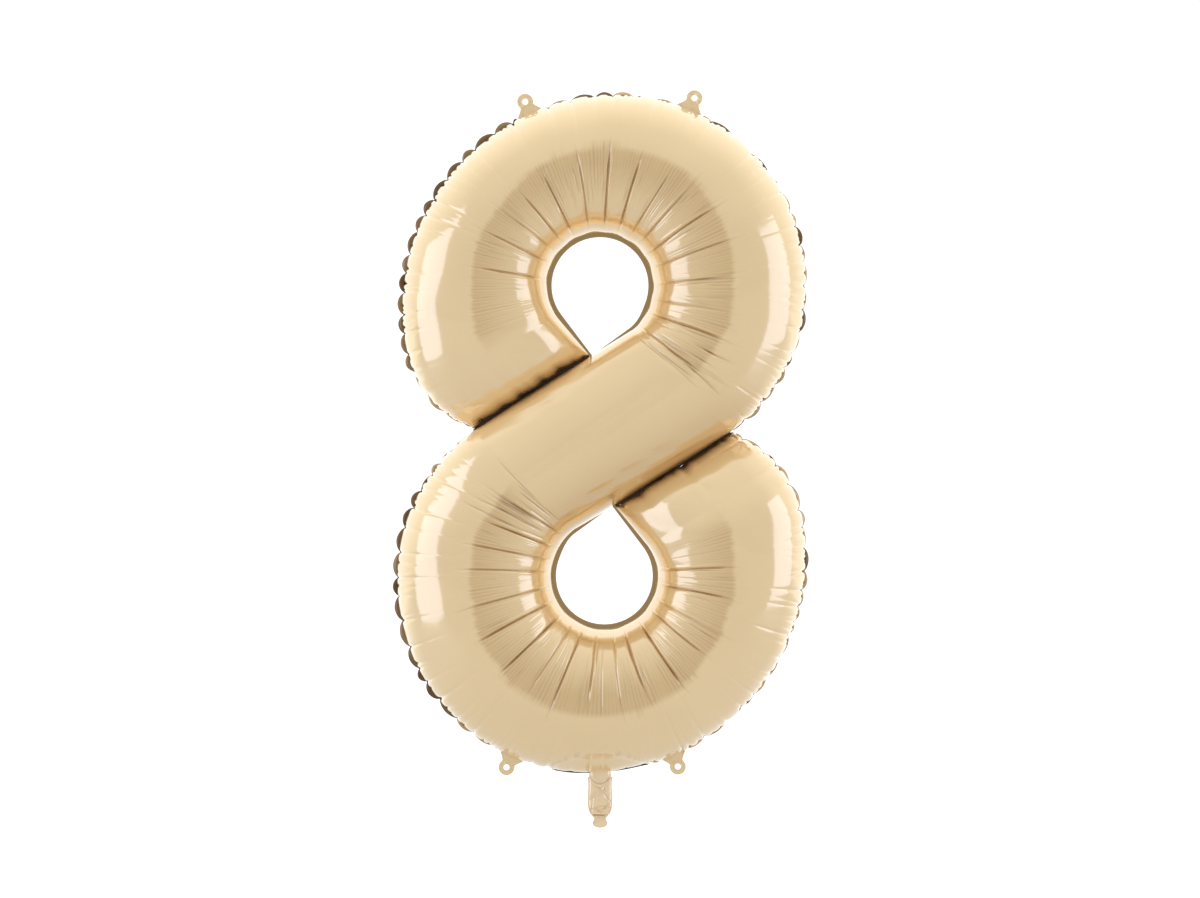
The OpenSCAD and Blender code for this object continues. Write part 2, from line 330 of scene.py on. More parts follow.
def pleats(rng, t, height, fold):
    """Fine ribs side by side that end past the crest in a row of small dimples."""
    widths = rng.uniform(0.0030, 0.0052, 400) / (pleat_radius * ring_turn)
    edges = np.cumsum(widths)
    edges = edges[edges < 1.1]
    count = len(edges) + 1
    k = np.searchsorted(edges, run)
    phase = (run - np.where(k > 0, edges[np.clip(k - 1, 0, None)], 0)) / widths[k]
    tall = rng.uniform(0.35, 1.0, count)
    tall = tall * (0.72 + 0.28 * np.sin(np.cumsum(rng.uniform(0, 0.9, count))))
    starts = rng.uniform(0.06, 0.34, count)
    knots = np.arange(0, len(edges) + 12, 6)
    drift = np.interp(np.arange(count), knots, rng.uniform(-0.016, 0.016, len(knots)))
    ends = pleat_end + drift + rng.uniform(-0.008, 0.008, count)
    ends = (ends[k] + pleat_reach_overhead * overhead(run))[:, None]
    near_ring = ease((run - 0.055) / 0.06) * ease((1.0 - run) / 0.05)
    rib = 0.5 - 0.5 * np.cos(2 * math.pi * phase)
    ribs = (tall[k] * rib * near_ring)[:, None]
    reach = ease((t - starts[k][:, None]) / 0.16) * ease((ends - t) / 0.020)
    height -= pleat_deep * ribs * reach
    height -= dimple_deep * ribs * np.exp(-(((t - ends + 0.006) / 0.010) ** 2))
    # painted shade in the hollow of each rib
    fold += rib_shade * ribs * rib[:, None] * reach
    # painted shade on the pleated side of the tube, up to where the pleats end
    pleated_side_shade = ease((ends + 0.014 - t) / 0.045) * (0.05 + 0.95 * ease((t - 0.14) / 0.38))
    return pleated_side_shade * near_ring[:, None]


def puckers(rng, ring, s, q, height):
    """Short folds square to the outer weld, one at each pinch point and more beside it."""
    from_edge = (180 - q) / 180 * section_length
    height -= scallop_deep * scallops(ring)[:, None] * np.exp(-from_edge / 0.010)
    loose = 1 - held_flat(ring)[:, None] * np.exp(-from_edge / 0.012)
    for c, deep, length in pinches[ring]:
        u = np.abs(s - c) * outer_run
        shape = np.exp(-u / 0.0014) * np.exp(-((from_edge / length) ** 1.5))
        height -= pinch_deep * deep * loose * shape
        for n in range(rng.randint(1, 5)):
            c2 = c + rng.uniform(-0.012, 0.012)
            u = np.abs(s - c2 + rng.uniform(-0.1, 0.1) * from_edge) * outer_run
            long = rng.uniform(0.016, 0.052)
            shape = np.exp(-u / 0.0013) * np.exp(-((from_edge / long) ** 2))
            height -= rng.uniform(0.0010, 0.0030) * loose * shape


def end_wrinkles(rng, t, height, fold):
    """A fan of folds that run back from the blunt end's weld, and small dents beyond them."""
    end = end_distance[:, None]
    for n in range(end_folds):
        c = rng.uniform(0.02, 0.98) if n % 2 else (n + 1) / (end_folds + 1)
        deep = rng.uniform(0.5, 1.0) * (end_fold_deep if n % 4 == 0 else end_fold_shallow)
        long = rng.uniform(0.020, 0.065)
        spread = rng.uniform(-0.5, 0.5)
        u = np.abs(t - c + spread * end) * tube_width
        at_weld = 0.35 + 0.65 * ease(end / 0.010)
        height -= deep * at_weld * np.exp(-u / end_fold_wide) * np.exp(-((end / long) ** 1.4))
    # painted shade where the film turns down into the seam, darkest at the seam
    fold += end_seam_shade * ease((0.024 - end) / 0.022) * ease((t - 0.01) / 0.05) * ease((0.97 - t) / 0.06)
    for n in range(end_dents):
        c, far = rng.uniform(0.08, 0.92), rng.uniform(0.03, 0.13)
        wide, long = rng.uniform(0.0030, 0.0075), rng.uniform(0.006, 0.016)
        lean = rng.uniform(-0.6, 0.6)
        u = (t - c) * tube_width - lean * (end - far)
        dent = np.exp(-((u / wide) ** 2) - (((end - far) / long) ** 2))
        height -= rng.uniform(0.0004, 0.0013) * dent


def slow_swell(rng, s, t, height):
    """Slow unevenness of the whole skin."""
    for n in range(9):
        f = rng.uniform(2, 16)
        g = rng.uniform(0.6, 2.4)
        p = rng.uniform(0, 2 * math.pi, 2)
        level = rng.uniform(0.0002, 0.0007) / (1 + 0.1 * f)
        height += level * np.sin(2 * math.pi * f * s + p[0]) * np.sin(2 * math.pi * g * t + p[1])


def crease_field(ring, side):
    """Relief of the film over one ring, with the painted shade of its folds and of its pleated side."""
    rng = np.random.RandomState(7 + 10 * ring + (100 if side == BACK else 0))
    q = across[None, :]
    t = (1 - np.cos(np.radians(q))) / 2
    arc = (eye_weld_r + tube_width * t) * ring_turn
    s = run[:, None]
    height = np.zeros((len(run), len(across)))
    fold = np.zeros((len(run), len(across)))
    at = main_creases(rng, s, t, arc, height, fold)
    thin_creases(rng, at, s, t, arc, height, fold)
    pleated_side_shade = pleats(rng, t, height, fold)
    puckers(rng, ring, s, q, height)
    end_wrinkles(rng, t, height, fold)
    slow_swell(rng, s, t, height)
    # the film lies flat where it meets the eye's weld
    return height * ease(q / 10 + 0.05), np.clip(fold, 0, 1), pleated_side_shade


stroke_streaks = 20


def stroke_field(side, level, q):
    """Lengthwise streaks along the middle stroke, where the film is nearly flat."""
    rng = np.random.RandomState(23 + (100 if side == BACK else 0))
    height = np.zeros_like(q)
    for n in range(stroke_streaks):
        c = rng.uniform(20, 160) + rng.uniform(-14, 14) * (level - 0.5)
        wide = rng.uniform(2.0, 8)
        height += rng.uniform(-0.0020, 0.0013) * np.exp(-(((q - c) / wide) ** 2))
    return height * np.sin(math.pi * np.clip(level, 0, 1)) ** 0.6


# How far the outer weld leans at most, and how quickly that dies away over the film.
weld_lean, weld_lean_fade = 0.0016, 0.009
# The pocket over the neck: its height, its drop to the sides, its half width and its depth.
pocket_high, pocket_drop, pocket_half, pocket_deep = 0.031, 0.0217, 0.069, 0.0085
pocket_tall = 0.029
# strength of the painted shade along the pocket's top rim
pocket_rim_shade = 0.30
# strength of the painted shade on the stroke's lower side
stroke_lower_shade = 0.85


def with_stroke(first, last, side):
    """Two rings' rows with the middle stroke's rows between them, quantity by quantity."""
    level = (np.arange(1, stroke_rows) / stroke_rows)[:, None]
    fade = 1 - ease(level / 0.25)
    fade_back = 1 - ease((1 - level) / 0.25)
    near = first[0][-1:] + (last[0][:1] - first[0][-1:]) * level
    far = first[1][-1:] + (last[1][:1] - first[1][-1:]) * level
    q = first[2][-1:] + (last[2][:1] - first[2][-1:]) * ease(level)
    faded = [a[-1:] * fade + b[:1] * fade_back for a, b in zip(first[4:], last[4:])]
    faded[0] = faded[0] + stroke_field(side, level, q)
    middle = (near, far, q, np.ones(stroke_rows - 1), *faded)
    return [np.concatenate(parts) for parts in zip(first, middle, last)]


def neck_pocket(skin, height, fold):
    """The flatter pocket over the neck, where the valve holds the film back, with painted shade along
    its top rim.
    """
    x, z = skin[..., 0], skin[..., 2]
    pocket_top = pocket_high - pocket_drop * (x / pocket_half) ** 2
    r = ring_r[LOWER]
    weld_line = lip_w + r - np.sqrt(r ** 2 - np.clip(x, -0.1, 0.1) ** 2)
    tall = np.clip(pocket_top - weld_line, 0.0005, None)
    up = np.clip((z - weld_line) / tall, 0, 1)
    in_pocket = (np.abs(x) < 0.07) & (z < 0.05)
    height = height - in_pocket * pocket_deep * (tall / pocket_tall) ** 2 * 4 * up ** 1.5 * (1 - up)
    rim = np.exp(-(((pocket_top - z) / 0.0012) ** 2))
    return height, np.maximum(fold, in_pocket * pocket_rim_shade * rim)


def grid_quads(rows, lines):
    """The faces of a grid of points that are listed row by row."""
    index = np.arange(rows * lines).reshape(rows, lines)
    corners = [index[:-1, :-1], index[:-1, 1:], index[1:, 1:], index[1:, :-1]]
    return np.stack(corners, -1).reshape(-1, 4)


def smooth_mesh(name, points, faces):
    mesh = bpy.data.meshes.new(name)
    mesh.from_pydata(points, [], faces)
    mesh.update()
    mesh.polygons.foreach_set("use_smooth", [True] * len(mesh.polygons))
    return mesh


def film_mesh(name, skin, quads, side):
    """A grid of points as one smooth skin that faces its own side of the balloon."""
    mesh = smooth_mesh(name, skin.reshape(-1, 3).tolist(), quads.tolist())
    if mesh.polygons[len(mesh.polygons) // 2].normal.y * side < 0:
        mesh.flip_normals()
    return mesh


def mark(mesh, attribute, values):
    """Give each point of a mesh a value that the finishes and the trees read by its name."""
    mesh.attributes.new(attribute, "FLOAT", "POINT").data.foreach_set("value", values.ravel())


def film_panel(name, side):
    """One film panel as a single skin over the inflated tube."""
    rise = tube_depth / 2 - film_gap
    blocks = []
    for ring in (UPPER, LOWER):
        eye_side, outer = ring_edges(ring)
        q = np.repeat(across[None, :], len(run), 0)
        from_edge = (180 - q) / 180 * section_length
        height, fold, pleated_side_shade = crease_field(ring, side)
        wave = weld_wave(ring)[:, None] * weld_lean * np.exp(-from_edge / weld_lean_fade)
        if ring == UPPER:
            blocks.append((eye_side, outer, q, fullness, height, wave, fold, pleated_side_shade))
        else:
            turned = [a[::-1, ::-1] for a in (180 - q, height, wave, fold, pleated_side_shade)]
            blocks.append((outer[::-1], eye_side[::-1], turned[0], fullness[::-1], *turned[1:]))
    near, far, q, full, height, wave, fold, pleated_side_shade = with_stroke(*blocks, side)
    t = (1 - np.cos(np.radians(q))) / 2
    at_end = 1 - ease((run - end_share) / 0.12)
    at_stroke = ease((run - 0.90) / 0.10)
    whole_stroke = np.ones(stroke_rows - 1)
    squareness = np.concatenate([at_end + at_stroke, whole_stroke, (at_end + at_stroke)[::-1]])
    in_stroke = np.concatenate([at_stroke, whole_stroke, at_stroke[::-1]])[:, None]
    flat = near[:, None, :] + (far - near)[:, None, :] * t[..., None]
    # painted shade on the stroke's lower side, as on the pleated side of each ring
    lower_side = ease((q - 92) / 55) * ease((178 - q) / 8)
    pleated_side_shade = np.maximum(pleated_side_shade, stroke_lower_shade * in_stroke * lower_side)
    upper_side = 1 - ease((q - 60) / 60)
    boxy = 1 - squareness[:, None] * (0.22 + in_stroke * (0.20 * upper_side - 0.06))
    deep = side * (film_gap + full[:, None] * rise * np.sin(np.radians(np.clip(q, 0, 180))) ** boxy)
    skin = np.stack([flat[..., 0], deep, flat[..., 1]], -1)
    normal = np.cross(np.gradient(skin, axis=0), np.gradient(skin, axis=1))
    normal /= np.linalg.norm(normal, axis=-1, keepdims=True) + 1e-12
    normal *= side * np.sign(normal[len(normal) // 2, len(across) // 2, 1])
    height, fold = neck_pocket(skin, height, fold)
    skin = skin + normal * height[..., None]
    skin[..., 1] = side * np.maximum(side * skin[..., 1], film_gap) + wave
    mesh = film_mesh(name, skin, grid_quads(*skin.shape[:2]), side)
    mark(mesh, "fold", fold)
    mark(mesh, "pleated_side_shade", pleated_side_shade)
    return linked(name, mesh)


def film_finish(name, colour, metal, rough, coat, coat_ior=1.5):
    """Metallised film: a pearl ink over a mirror layer, under a clear glossy skin."""
    made = bpy.data.materials.new(name)
    made.use_nodes = True
    nodes, links = made.node_tree.nodes, made.node_tree.links
    shader = nodes["Principled BSDF"]
    shader.inputs["Metallic"].default_value = metal
    shader.inputs["Coat Weight"].default_value = coat
    shader.inputs["Coat Roughness"].default_value = 0.07
    shader.inputs["Coat IOR"].default_value = coat_ior
    place = nodes.new("ShaderNodeTexCoord")
    cloud = nodes.new("ShaderNodeTexNoise")
    cloud.inputs["Scale"].default_value = 7
    cloud.inputs["Detail"].default_value = 3
    links.new(place.outputs["Object"], cloud.inputs["Vector"])
    tone = nodes.new("ShaderNodeValToRGB")
    tone.color_ramp.elements[0].position = 0.3
    tone.color_ramp.elements[0].color = (colour[0] * 0.965, colour[1] * 0.955, colour[2] * 0.93, 1)
    tone.color_ramp.elements[1].position = 0.7
    tone.color_ramp.elements[1].color = (*colour, 1)
    links.new(cloud.outputs["Fac"], tone.inputs["Fac"])
    links.new(tone.outputs["Color"], shader.inputs["Base Color"])
    grain = nodes.new("ShaderNodeTexNoise")
    grain.inputs["Scale"].default_value = 900
    grain.inputs["Detail"].default_value = 2
    links.new(place.outputs["Object"], grain.inputs["Vector"])
    gloss = nodes.new("ShaderNodeMapRange")
    gloss.inputs["To Min"].default_value = rough - 0.04
    gloss.inputs["To Max"].default_value = rough + 0.04
    links.new(grain.outputs["Fac"], gloss.inputs["Value"])
    links.new(gloss.outputs["Result"], shader.inputs["Roughness"])
    peel = nodes.new("ShaderNodeTexNoise")
    peel.inputs["Scale"].default_value = 60
    peel.inputs["Detail"].default_value = 1
    links.new(place.outputs["Object"], peel.inputs["Vector"])
    bump = nodes.new("ShaderNodeBump")
    bump.inputs["Strength"].default_value = 0.12
    bump.inputs["Distance"].default_value = 0.0006
    links.new(peel.outputs["Fac"], bump.inputs["Height"])
    links.new(bump.outputs["Normal"], shader.inputs["Normal"])
    return made


foil_finish = film_finish("champagne_foil", (0.94, 0.70, 0.365), 0.44, 0.14, 1.0, coat_ior=1.9)
# Painted shade: the folds of the film are darker inside, and the pleated side of the tube is darker
# too.
pleated_side_shade_colour = (0.82, 0.75, 0.62, 1)
fold_shade_colour = (0.40, 0.27, 0.12, 1)


def deepened(finish, attribute, tone):
    """Multiply a finish's colour by a darker tone wherever the film's attribute is set: painted shade.
    """
    nodes, links = finish.node_tree.nodes, finish.node_tree.links
    base = nodes["Principled BSDF"].inputs["Base Color"]
    reading = nodes.new("ShaderNodeAttribute")
    reading.attribute_name = attribute
    deepen = nodes.new("ShaderNodeMix")
    deepen.data_type = "RGBA"
    deepen.blend_type = "MULTIPLY"
    links.new(reading.outputs["Fac"], deepen.inputs["Factor"])
    links.new(base.links[0].from_socket, deepen.inputs["A"])
    deepen.inputs["B"].default_value = tone
    links.new(deepen.outputs["Result"], base)


deepened(foil_finish, "pleated_side_shade", pleated_side_shade_colour)
deepened(foil_finish, "fold", fold_shade_colour)
for panel_name, panel_side in (("front_foil", FRONT), ("back_foil", BACK)):
    panel = film_panel(panel_name, panel_side)
    panel.data.materials.append(foil_finish)
    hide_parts("front_foil_panel" if panel_side == FRONT else "back_foil_panel")
    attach(panel, "balloon_body")


# Outer welds: the two films heat-welded flat for a few millimetres all round the outline. The
# pull of the puckers breaks this lip into ears, each leaning a little forward or back.
lip_thickness = 0.00035
lip_full_w = 0.0078
lip_seat = 0.0024
lip_lean = 0.35
# The stretch of each ring, as shares of its run, where the ears stand to their full height.
standing_stretch = ((0.08, 0.40), (0.66, 0.90))
lip_finish = film_finish("outer_weld_foil", (0.80, 0.58, 0.30), 0.80, 0.26, 0.5)
# painted shade: the ears are darkened by their shaded value
deepened(lip_finish, "shaded", (0.17, 0.12, 0.07, 1))


def lip_tree():
    """A tree that sweeps a thin flat lip along a seam: it points outward, as tall as it stands."""
    tree = bpy.data.node_groups.new("outer_weld_lip", "GeometryNodeTree")
    face = tree.interface
    face.new_socket("Seam", in_out="INPUT", socket_type="NodeSocketGeometry")
    face.new_socket("Lip width", in_out="INPUT", socket_type="NodeSocketFloat")
    face.new_socket("Lip thickness", in_out="INPUT", socket_type="NodeSocketFloat")
    face.new_socket("Finish", in_out="INPUT", socket_type="NodeSocketMaterial")
    face.new_socket("Lip", in_out="OUTPUT", socket_type="NodeSocketGeometry")
    make, join = tree.nodes.new, tree.links.new
    given = make("NodeGroupInput")
    result = make("NodeGroupOutput")
    seam = make("GeometryNodeMeshToCurve")
    join(given.outputs["Seam"], seam.inputs["Mesh"])
    outward = make("GeometryNodeInputNamedAttribute")
    outward.data_type = "FLOAT_VECTOR"
    outward.inputs["Name"].default_value = "outward"
    aimed = make("GeometryNodeSetCurveNormal")
    aimed.mode = "FREE"
    join(seam.outputs["Curve"], aimed.inputs["Curve"])
    join(outward.outputs["Attribute"], aimed.inputs["Normal"])
    section = make("GeometryNodeCurvePrimitiveQuadrilateral")
    join(given.outputs["Lip width"], section.inputs["Width"])
    join(given.outputs["Lip thickness"], section.inputs["Height"])
    half = make("ShaderNodeMath")
    half.operation = "MULTIPLY"
    half.inputs[1].default_value = 0.5
    join(given.outputs["Lip width"], half.inputs[0])
    shift = make("ShaderNodeCombineXYZ")
    join(half.outputs["Value"], shift.inputs["X"])
    moved = make("GeometryNodeTransform")
    join(section.outputs["Curve"], moved.inputs["Geometry"])
    join(shift.outputs["Vector"], moved.inputs["Translation"])
    stand = make("GeometryNodeInputNamedAttribute")
    stand.data_type = "FLOAT"
    stand.inputs["Name"].default_value = "stand"
    sweep = make("GeometryNodeCurveToMesh")
    sweep.inputs["Fill Caps"].default_value = True
    join(aimed.outputs["Curve"], sweep.inputs["Curve"])
    join(moved.outputs["Geometry"], sweep.inputs["Profile Curve"])
    join(stand.outputs["Attribute"], sweep.inputs["Scale"])
    real = make("GeometryNodeRealizeInstances")
    join(sweep.outputs["Mesh"], real.inputs["Geometry"])
    finish = make("GeometryNodeSetMaterial")
    join(real.outputs["Geometry"], finish.inputs["Geometry"])
    join(given.outputs["Finish"], finish.inputs["Material"])
    join(finish.outputs["Geometry"], result.inputs["Lip"])
    return tree


def grown(name, base, tree, values):
    """The plain mesh that a tree makes from a base mesh, with its inputs set by name."""
    swept = linked(name, base)
    work = swept.modifiers.new("make", "NODES")
    work.node_group = tree
    for item in tree.interface.items_tree:
        if item.in_out == "INPUT" and item.name in values:
            work[item.identifier] = values[item.name]
    seen = swept.evaluated_get(bpy.context.evaluated_depsgraph_get())
    mesh = bpy.data.meshes.new_from_object(seen)
    swept.modifiers.remove(work)
    swept.data = mesh
    bpy.data.meshes.remove(base)
    mesh.name = name
    return swept


def outer_lip(name, ring):
    """The outer weld's lip along one ring: an ear on each lobe, some of them standing and darkened with
    painted shade.
    """
    rng = np.random.RandomState(81 + ring)
    edge = ring_edges(ring)[1]
    along = np.gradient(edge, axis=0)
    along /= np.linalg.norm(along, axis=1, keepdims=True)
    out = np.stack([-along[:, 1], along[:, 0]], 1)
    out *= np.sign(((edge - eye_centre[ring]) * out).sum(1))[:, None]
    drawn_in = scallop_deep * scallops(ring)
    at = np.array([0] + [p[0] for p in pinches[ring]] + [1])
    k = np.clip(np.searchsorted(at, run) - 1, 0, len(at) - 2)
    phase = np.clip((run - at[k]) / (at[k + 1] - at[k]), 0, 1)
    full = rng.choice([0.12, 0.30, 0.60], len(at))
    shaded = rng.choice([0.15, 0.35, 0.9], len(at))
    stretch_from, stretch_to = standing_stretch[ring]
    standing = (at > stretch_from) & (at < stretch_to)
    full[standing] = 1.0
    shaded[standing] = rng.choice([0.75, 0.9, 1.0], standing.sum())
    lean = rng.uniform(-1, 1, len(at)) * lip_lean
    stand = (0.30 + 0.70 * full[k] * np.sin(math.pi * phase) ** 0.6) * (1 - 0.7 * held_flat(ring))
    leaning = lean[k] * np.sin(math.pi * phase)
    wave = weld_wave(ring) * weld_lean
    place = edge - out * (drawn_in + lip_seat)[:, None]
    use = np.flatnonzero(run > 0.004)
    base = bpy.data.meshes.new(name + "_seam")
    points = [(place[i, 0], wave[i], place[i, 1]) for i in use]
    base.from_pydata(points, [(i, i + 1) for i in range(len(points) - 1)], [])
    mark(base, "stand", stand[use])
    mark(base, "shaded", shaded[k][use])
    aim = np.stack([out[use, 0] * np.cos(leaning[use]), np.sin(leaning[use]),
        out[use, 1] * np.cos(leaning[use])], 1)
    base.attributes.new("outward", "FLOAT_VECTOR", "POINT").data.foreach_set("vector", aim.ravel())
    values = {"Lip width": lip_full_w, "Lip thickness": lip_thickness, "Finish": lip_finish}
    return grown(name, base, swept_lip, values)


swept_lip = lip_tree()
for lip_name, ring in (("upper_outer_lip", UPPER), ("lower_outer_lip", LOWER)):
    piece = outer_lip(lip_name, ring)
    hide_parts("upper_outer_weld" if ring == UPPER else "lower_outer_weld")
    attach(piece, "balloon_body")


# Eye rims and butting seams: flat welds in the middle plane, where the two films are pressed
# together under heat. They lie at the bottom of a gap between the tubes, and their colours are painted
# dark for it: painted shade on the eye rims, a painted shadow line on the butting seams.
eye_weld_shade_finish = film_finish("welded_foil", (0.42, 0.28, 0.11), 0.75, 0.30, 0.6)
butt_weld_shadow_finish = film_finish("butt_weld_painted_shadow", (0.06, 0.032, 0.012), 0.50, 0.45, 0.1)
for node in ("upper_eye_weld", "lower_eye_weld", "upper_butt_weld", "lower_butt_weld"):
    weld = frame["nodes"][node]
    weld.data.materials.clear()
    weld.data.materials.append(eye_weld_shade_finish if "eye" in node else butt_weld_shadow_finish)


# Hanging tabs: ears of the same welded film with a punched eyelet, one piece with the outer
# weld. Each curls a little out of its plane, and its root reaches back over the weld.
tab_finish = film_finish("tab_foil", (0.92, 0.71, 0.40), 0.45, 0.24, 1.0)
tab_head_r = 0.010
tab_eyelet_r = 0.0038
tab_thickness = 0.0005
fold_out = 0.001
eyelet_up = 0.012
tab_folds, tab_fold_wide = 7, 0.0012
tab_height = 0.022
# Rings of points from the eyelet's rim to the tab's edge, and how far each stands up: the
# eyelet's pressed rim, the flat film and the sealed edge.
ring_shares = [0, 0.03, 0.09, 0.16, 0.24, 0.40, 0.60, 0.80, 0.94, 1]
ring_relief = [0.00, 0.00030, 0.00038, 0.00030, 0, 0, 0, 0, 0.00012, 0]
tab_rings = {"top_left": UPPER, "top_right": UPPER, "bottom_left": LOWER, "bottom_right": LOWER}


def in_tab(x, v):
    """Whether a place is on the tab: a round head on a neck that flares out to its root."""
    round_head = x * x + (v - eyelet_up) ** 2 <= tab_head_r ** 2
    flare = 0.0083 + 0.0060 * np.clip((0.009 - v) / 0.010, 0, 1.35) ** 2.2
    return round_head | ((v >= -0.0070) & (v < 0.009) & (np.abs(x) <= flare))


def hanging_tab(name, ring, angle, seed):
    """One tab as two films round a punched eyelet, with the place and direction of its fold."""
    rng = np.random.RandomState(seed)
    turns = np.linspace(0, 2 * math.pi, 96, endpoint=False)
    reach = np.linspace(0, 0.03, 3001)[None, :]
    rays = np.stack([np.cos(turns), np.sin(turns)], 1)
    within = in_tab(rays[:, :1] * reach, eyelet_up + rays[:, 1:] * reach)
    rim = reach[0][np.argmin(within, 1) - 1]
    folds = []
    for n in range(tab_folds):
        folds.append((rng.uniform(0, math.pi), rng.uniform(-0.006, 0.006), rng.uniform(0.0004, 0.0009)))
    local = angle if ring == UPPER else angle - 180
    outward = ray(angle)
    tangent = np.array([outward[1], -outward[0]])
    fold_at = ring_centre[ring] + (outline_r(ring, np.array(float(local))) + fold_out) * outward
    curl = rng.uniform(-0.0025, 0.0025)
    points, faces = [], []
    for side in (FRONT, BACK):
        for share, up in zip(ring_shares, ring_relief):
            r = tab_eyelet_r + (rim - tab_eyelet_r) * share
            x, v = rays[:, 0] * r, eyelet_up + rays[:, 1] * r
            crinkle = np.zeros(len(turns))
            for turn, off, deep in folds:
                from_fold = np.abs(x * math.cos(turn) + (v - eyelet_up) * math.sin(turn) - off)
                crinkle += deep * np.exp(-from_fold / tab_fold_wide)
            crinkle *= ease(share / 0.3)
            y = curl * (v / tab_height) ** 2 + crinkle + side * (tab_thickness / 2 + up)
            flat = fold_at + x[:, None] * tangent + v[:, None] * outward
            points += [(flat[i, 0], y[i], flat[i, 1]) for i in range(len(turns))]
    n, m = len(turns), len(ring_shares)
    b = m * n
    e = (m - 1) * n
    for j in range(m - 1):
        for i in range(n):
            k = (i + 1) % n
            faces.append((j * n + i, j * n + k, (j + 1) * n + k, (j + 1) * n + i))
            faces.append((b + j * n + i, b + (j + 1) * n + i, b + (j + 1) * n + k, b + j * n + k))
    for i in range(n):
        k = (i + 1) % n
        faces.append((i, b + i, b + k, k))
        faces.append((e + i, e + k, b + e + k, b + e + i))
    mesh = smooth_mesh(name, points, faces)
    mesh.materials.append(tab_finish)
    return linked(name, mesh), fold_at, outward


for seed, (corner, angle) in enumerate(tab_angles.items()):
    tab, fold_at, outward = hanging_tab(corner + "_tab_film", tab_rings[corner], angle, 300 + seed)
    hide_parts(corner + "_hanging_tab")
    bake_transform(tab)


# Filling neck: two films welded down both sides, with the flat valve film between them. It
# hangs limp under the body, creased by the tie and by handling, and a tongue of the full
# body bulges into its root.
# painted light: the neck's film is coloured a little lighter than the body's film
neck_finish = film_finish("neck_foil", (0.97, 0.74, 0.44), 0.45, 0.15, 1.0, coat_ior=1.8)
# painted shade in the neck's creases
deepened(neck_finish, "fold", fold_shade_colour)
neck_half_w = 0.0152
neck_length = 0.0485
neck_film_top = 0.008
neck_inset, neck_rest, neck_full = 0.0012, 0.0006, 0.0026
tail_top, tail_length = -0.0015, 0.0655
tail_inset, tail_rest, tail_full = 0.0002, 0.0001, 0.0006
# The valve's strips lie flat, with less bulge than this.
thin_bulge = 0.001
# The tongue of the full body in the neck's root: how high it stands, its length and half width.
tongue_high, tongue_long, tongue_half = 0.0028, 0.0095, 0.0145
# strengths of painted shade along the tongue's foot and along the neck's creases
tongue_rim_shade = 0.60
neck_folds, neck_fold_shade = 22, 0.12
film_wall = 0.0002


def neck_outline(z):
    """Half width of the neck and of the valve's lip at a height below the root."""
    down = np.array([0, 0.012, 0.038, 0.046, 0.0505, 0.0535, 0.0562, 0.0595, 0.0625, 0.0645, 0.0655])
    half = np.array([1.0, 0.97, 1.0, 0.84, 0.66, 0.50, 0.54, 0.64, 0.58, 0.38, 0.10]) * neck_half_w
    return np.interp(-z, down, half)


def crinkled_film(name, side, top, foot, inset, rest, full, seed, lines=56, steps=110):
    """One limp film of the neck or the valve, creased all ways and bulged by the other films, with
    painted shade in its creases.
    """
    rng = np.random.RandomState(seed)
    z = np.linspace(top, foot, steps)[:, None]
    c = np.linspace(-1, 1, lines)[None, :]
    c = np.sin(c * math.pi / 2)
    half = neck_outline(z) - inset
    x = c * half
    bulge = full * np.sqrt(np.clip(1 - c ** 2, 0, 1)) * ease((z + 0.075) / 0.03)
    fold = np.zeros_like(x)
    neck_crease_shade = np.zeros_like(x)
    for n in range(neck_folds):
        turn = rng.uniform(-0.9, 0.9) + (0.5 if n % 3 == 0 else -0.6)
        off = rng.uniform(-0.060, -0.010)
        centre = rng.uniform(-0.010, 0.010)
        long = rng.uniform(0.006, 0.014)
        u = (x - centre) * math.sin(turn) + (z - off) * math.cos(turn)
        w = (x - centre) * math.cos(turn) - (z - off) * math.sin(turn)
        shape = np.exp(-np.abs(u) / rng.uniform(0.0007, 0.0016)) * np.exp(-((w / long) ** 2))
        fold += rng.choice([-1, 1]) * rng.uniform(0.0009, 0.0022) * shape
        neck_crease_shade += neck_fold_shade * shape
    tongue_foot = -tongue_long * (1 - (x / tongue_half) ** 2)
    tongue = tongue_high * ease((z - tongue_foot) / 0.0045) * ease((neck_half_w - np.abs(x)) / 0.006)
    tongue = tongue * full / neck_full
    keep = np.sqrt(np.clip(1 - c ** 2, 0, 1))
    creased = (fold + 0.0012) * keep if full > thin_bulge else fold * 0.3
    y = side * np.maximum(rest + bulge + creased + tongue, rest)
    points = np.stack([x, y, z + 0 * x], -1)
    quads = grid_quads(steps, lines)
    if side == FRONT:
        quads = quads[:, ::-1]
    mesh = film_mesh(name, points, quads, side)
    if full > thin_bulge:
        rim = np.exp(-(((z - tongue_foot + 0.0004) / 0.0007) ** 2)) * (np.abs(x) < 0.0140)
        neck_crease_shade += tongue_rim_shade * rim
    mark(mesh, "fold", np.clip(neck_crease_shade, 0, 1))
    film = linked(name, mesh)
    wall = film.modifiers.new("wall", "SOLIDIFY")
    wall.thickness = film_wall
    wall.offset = -1
    mesh.materials.append(neck_finish)
    return film


